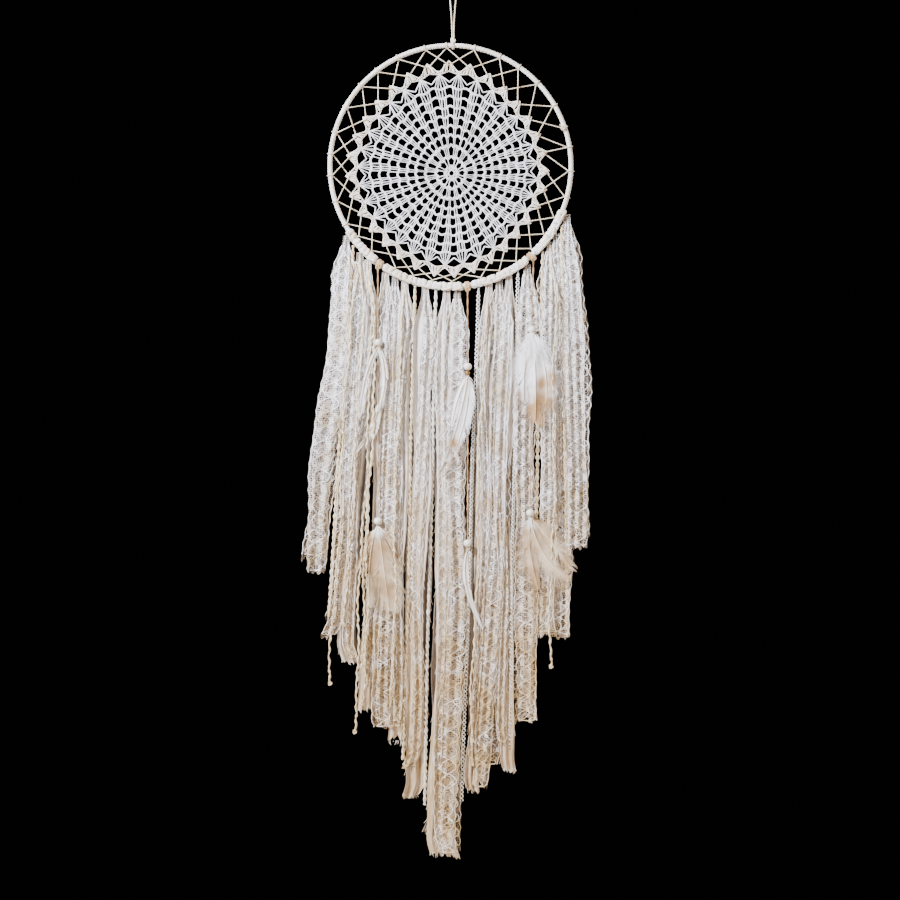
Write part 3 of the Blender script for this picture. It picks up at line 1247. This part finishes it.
# Goose feathers: white barbs that let a little light through
white_barb = barb("white_goose_barb", "#fbfbfd", "#ece6de", 0.9)
# The same dyed beige, more sheer and cloudy
beige_barb = barb("beige_goose_barb", "#dfc9a8", "#b08c60", 0.82)
# White feathers whose lower part is dipped in tan dye, one for each height at which they hang
tipped_right = barb("white_goose_barb_tan_below", "#fcfcfe", "#b08858", 0.9, -0.44, -0.53, 0.3)
tipped_middle = barb("white_goose_barb_tan_tip", "#fbfbfd", "#b08858", 0.9, -0.5, -0.61, 0.25)
# Down: the whitest and softest part
down_barb = barb("white_down", "#ffffff", "#f0ece6", 0.85)
# A feather's shaft: pale horn, a little yellow
shaft_horn = barb("feather_shaft_horn", "#f7e9d0", "#dcc39a", 1.0)
print("feather materials: 6")


# %% Feather shape
def curve(a, b, c, t):
    """Quadratic curve from a to c that leans towards b: (1-t)^2 a + 2 t (1-t) b + t^2 c."""
    t = t[..., None]
    return (1 - t) ** 2 * a + 2 * t * (1 - t) * b + t ** 2 * c


# Barbs on each side of a shaft, the share of the shaft left bare at its root, and a barb's slant
barbs, bare_shaft, slant = 150, 0.06, 50.0


def feather(root, bend, tip, widths, lift, own):
    """Ribbons on both sides of a curved shaft. A barb at share s of the shaft has the length
    w s^0.45 (1 - s)^0.55 times 3.4, leaves at the slant angle, curves towards the tip and away
    from the viewer, and tapers. Neighbours share a slowly wandering slant, which opens splits."""
    s = np.linspace(bare_shaft, 0.995, barbs)
    line = curve(*(np.array(p, float) for p in (root, bend, tip)), s)
    along = unit(np.gradient(line, axis=0))
    ahead = np.array([0, -1.0, 0])
    t = np.linspace(0, 1, 8)[:, None]
    patches = []
    for sign, w in zip((-1, 1), widths):
        across = sign * unit(np.cross(along, ahead))
        splits = own.normal(0, 0.022, barbs) + (own.random(barbs) < 0.035) * own.normal(0, 0.22, barbs)
        wander = np.cumsum(splits)
        wander = wander - np.linspace(0, 1, barbs) * wander[-1] * 0.7
        angle = np.radians(slant) * (1.15 - 0.5 * s) + wander
        length = 3.4 * w * s ** 0.45 * (1 - s) ** 0.55 * own.uniform(0.93, 1.04, barbs)
        reach = length[:, None, None] * t
        ahead_of, beside = along[:, None], across[:, None]
        way = np.sin(angle)[:, None, None] * beside + np.cos(angle)[:, None, None] * ahead_of
        spine = line[:, None] + reach * way
        spine = spine + 0.22 * length[:, None, None] * t ** 2 * (ahead_of - 0.6 * beside)
        arch = lift * np.sin(np.pi * t[:, 0]) - 0.35 * lift * t[:, 0]
        spine[..., 1] += arch * (length[:, None] / max(2 * w, 1))
        spine[..., 1] += own.normal(0, 0.12, (barbs, 1)) * t[:, 0]
        gap = np.linalg.norm(line[-1] - line[0]) / barbs
        half = 0.75 * gap * (1.05 - 0.75 * t) * along[:, None]
        patches.append(surface(np.stack([spine - half, spine + half], -2), reach[..., 0], [0.0, 1.0]))
    whole = curve(*(np.array(p, float) for p in (root, bend, tip)), np.linspace(0, 0.985, 30))
    shaft = tube(whole - [0, 0.25, 0], np.linspace(0.62, 0.14, 30), 6)
    return patches, shaft


def fluff(root, size, count, own, length):
    """Down: thin curly ribbons that fan out below the root. Each starts in its own direction and
    bends in a slow sine, and none lies more than 12 mm before or behind the root."""
    t = np.linspace(0, 1, 10)[:, None]
    aim = unit(np.array([0, -0.1, -1]) + own.normal(0, 0.55, (count, 3)) * [1.0, 0.1, 0.6])
    reach = own.uniform(0.45, 1.0, (count, 1, 1)) * length * t
    sideways = 2.2 * t[:, 0] * own.uniform(-1.5, 1.5, (count, 1)) + own.uniform(0, 6, (count, 1))
    bent = np.stack([np.sin(sideways),
                     0.5 * np.sin(3 * t[:, 0] + own.uniform(0, 6, (count, 1))),
                     -0.8 * t[:, 0] * own.uniform(0, 1.2, (count, 1))], -1)
    spine = np.array(root) + own.normal(0, 0.16, (count, 1, 3)) * [size, 2.5, size] + reach * aim[:, None]
    spine = spine + bent * (0.16 * length) * t
    spine[..., 1] = root[1] + np.clip(spine[..., 1] - root[1], -12, 12)
    half = np.array([1, 0, 0.35]) * 0.38 * (1.1 - t)
    return surface(np.stack([spine - half, spine + half], -2), length * t[:, 0], [0.0, 1.0])


print("one feather has", 2 * barbs, "barbs")

# %% [markdown]
# ### The six bunches
#
# Each bunch hangs right under its bead. A feather is given by its shaft's root, bend and tip, in
# millimetres right of and above the bead's middle, by the widths of its two vanes and by how far
# they arch. Last come the number of curls of down and their length.

# %% Bunches
bunches = {
    "left_upper": (white_barb, [
        ((0, -5), (-20, -40), (-22, -92), (4.5, 3.0), 2.0),
        ((1, -5), (16, -44), (0, -84), (3.5, 4.5), 1.5),
        ((2, -70), (-4, -108), (-31, -134), (6.5, 5.5), 2.0)], 26, 12),
    "left_lower": (beige_barb, [
        ((1, -6), (6, -50), (14, -108), (20, 23), 4.5),
        ((-1, -6), (-14, -40), (-10, -104), (15, 12), 3.0),
        ((0, -8), (-10, -30), (-27, -66), (5, 6), 2.0),
        ((1, -6), (18, -30), (30, -62), (6, 5), 2.0)], 60, 17),
    "middle_upper": (tipped_middle, [
        ((0, -11), (-6, -60), (-33, -128), (15, 4.5), 3.0),
        ((1, -11), (4, -50), (-16, -104), (7, 5), 2.0),
        ((0, -12), (-14, -34), (-20, -74), (5, 4), 1.5)], 40, 13),
    "middle_lower": (white_barb, [
        ((0, -6), (-12, -50), (18, -103), (3.4, 3.6), 1.5),
        ((0, -6), (2, -30), (-3, -62), (2.5, 2.5), 1.0)], 10, 8),
    "right_upper": (tipped_right, [
        ((1, -6), (6, -56), (4, -112), (20, 21), 5.0),
        ((0, -6), (-12, -40), (-10, -88), (12, 13), 3.0),
        ((2, -6), (22, -44), (17, -92), (13, 11), 3.0)], 420, 34),
    "right_lower": (beige_barb, [
        ((1, -6), (6, -52), (46, -80), (9, 17), 3.5),
        ((1, -6), (22, -30), (52, -70), (13, 9), 3.0),
        ((0, -6), (-6, -40), (10, -92), (8, 12), 3.0)], 60, 16),
}


# Depth of the front feather from the bead's middle, and from one feather to the next
front_y, layer_y = -4.6, 1.3


def bunch(name, finish, feathers, curls, size):
    """The vanes, the shafts and the down of one bunch, as three pieces on the string's body. Each
    next feather lies one layer further back than the one in front of it."""
    own = np.random.default_rng(len(name) * 7 + len(feathers))
    middle = bead_middle(f"{name}_bead")
    vanes, shafts = [], []
    for n, (root, bend, tip, widths, lift) in enumerate(feathers):
        points = [middle + [p[0], front_y + layer_y * n, p[1]] for p in (root, bend, tip)]
        patches, shaft = feather(*points, widths, lift, own)
        vanes += patches
        shafts.append(shaft)
    body = name.split("_")[0] + ("_lower_string" if "lower" in name else "_feather_string")
    start = middle + [0, -3.4, feathers[0][0][1] - 2]
    build(f"{name}_vanes", vanes, finish, body, f"{name}_feathers")
    build(f"{name}_shafts", shafts, shaft_horn, body)
    build(f"{name}_down", [fluff(start, size / 3, curls, own, size)], down_barb, body)
    return len(feathers)


print("feathers:", sum(bunch(name, *facts) for name, facts in bunches.items()))

# %% [markdown]
# ## Floor and checks
#
# A plain pale floor lies well below the fringe.

# %% Floor
floor_mesh = bpy.data.meshes.new("floor")
floor_below = 290
floor_z = (hoop_mid[2] - max(slot_end) - floor_below) * MM
corners = [(-1.1, -0.9, floor_z), (1.1, -0.9, floor_z), (1.1, 0.9, floor_z), (-1.1, 0.9, floor_z)]
floor_mesh.from_pydata(corners, [], [(0, 1, 2, 3)])
floor = show("floor", floor_mesh)
material, tree, shader = blank("pale_matt_floor")
speckle = add(tree, "TexNoise", {"Vector": add(tree, "TexCoord").outputs["Object"], "Scale": 40.0})
shade = add(tree, "ValToRGB", {"Fac": speckle.outputs["Fac"]})
shade.color_ramp.elements[0].color, shade.color_ramp.elements[1].color = linear("#d8d6d2"), linear("#dfddd9")
tree.links.new(shade.outputs["Color"], shader.inputs["Base Color"])
shader.inputs["Roughness"].default_value = 0.8
floor_mesh.materials.append(material)
floor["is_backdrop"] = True

# %% Sizes and finish
low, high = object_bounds()
largest = max(made, key=made.get)
print("triangles:", sum(made.values()), "in", len(made), "pieces; largest", largest, made[largest])
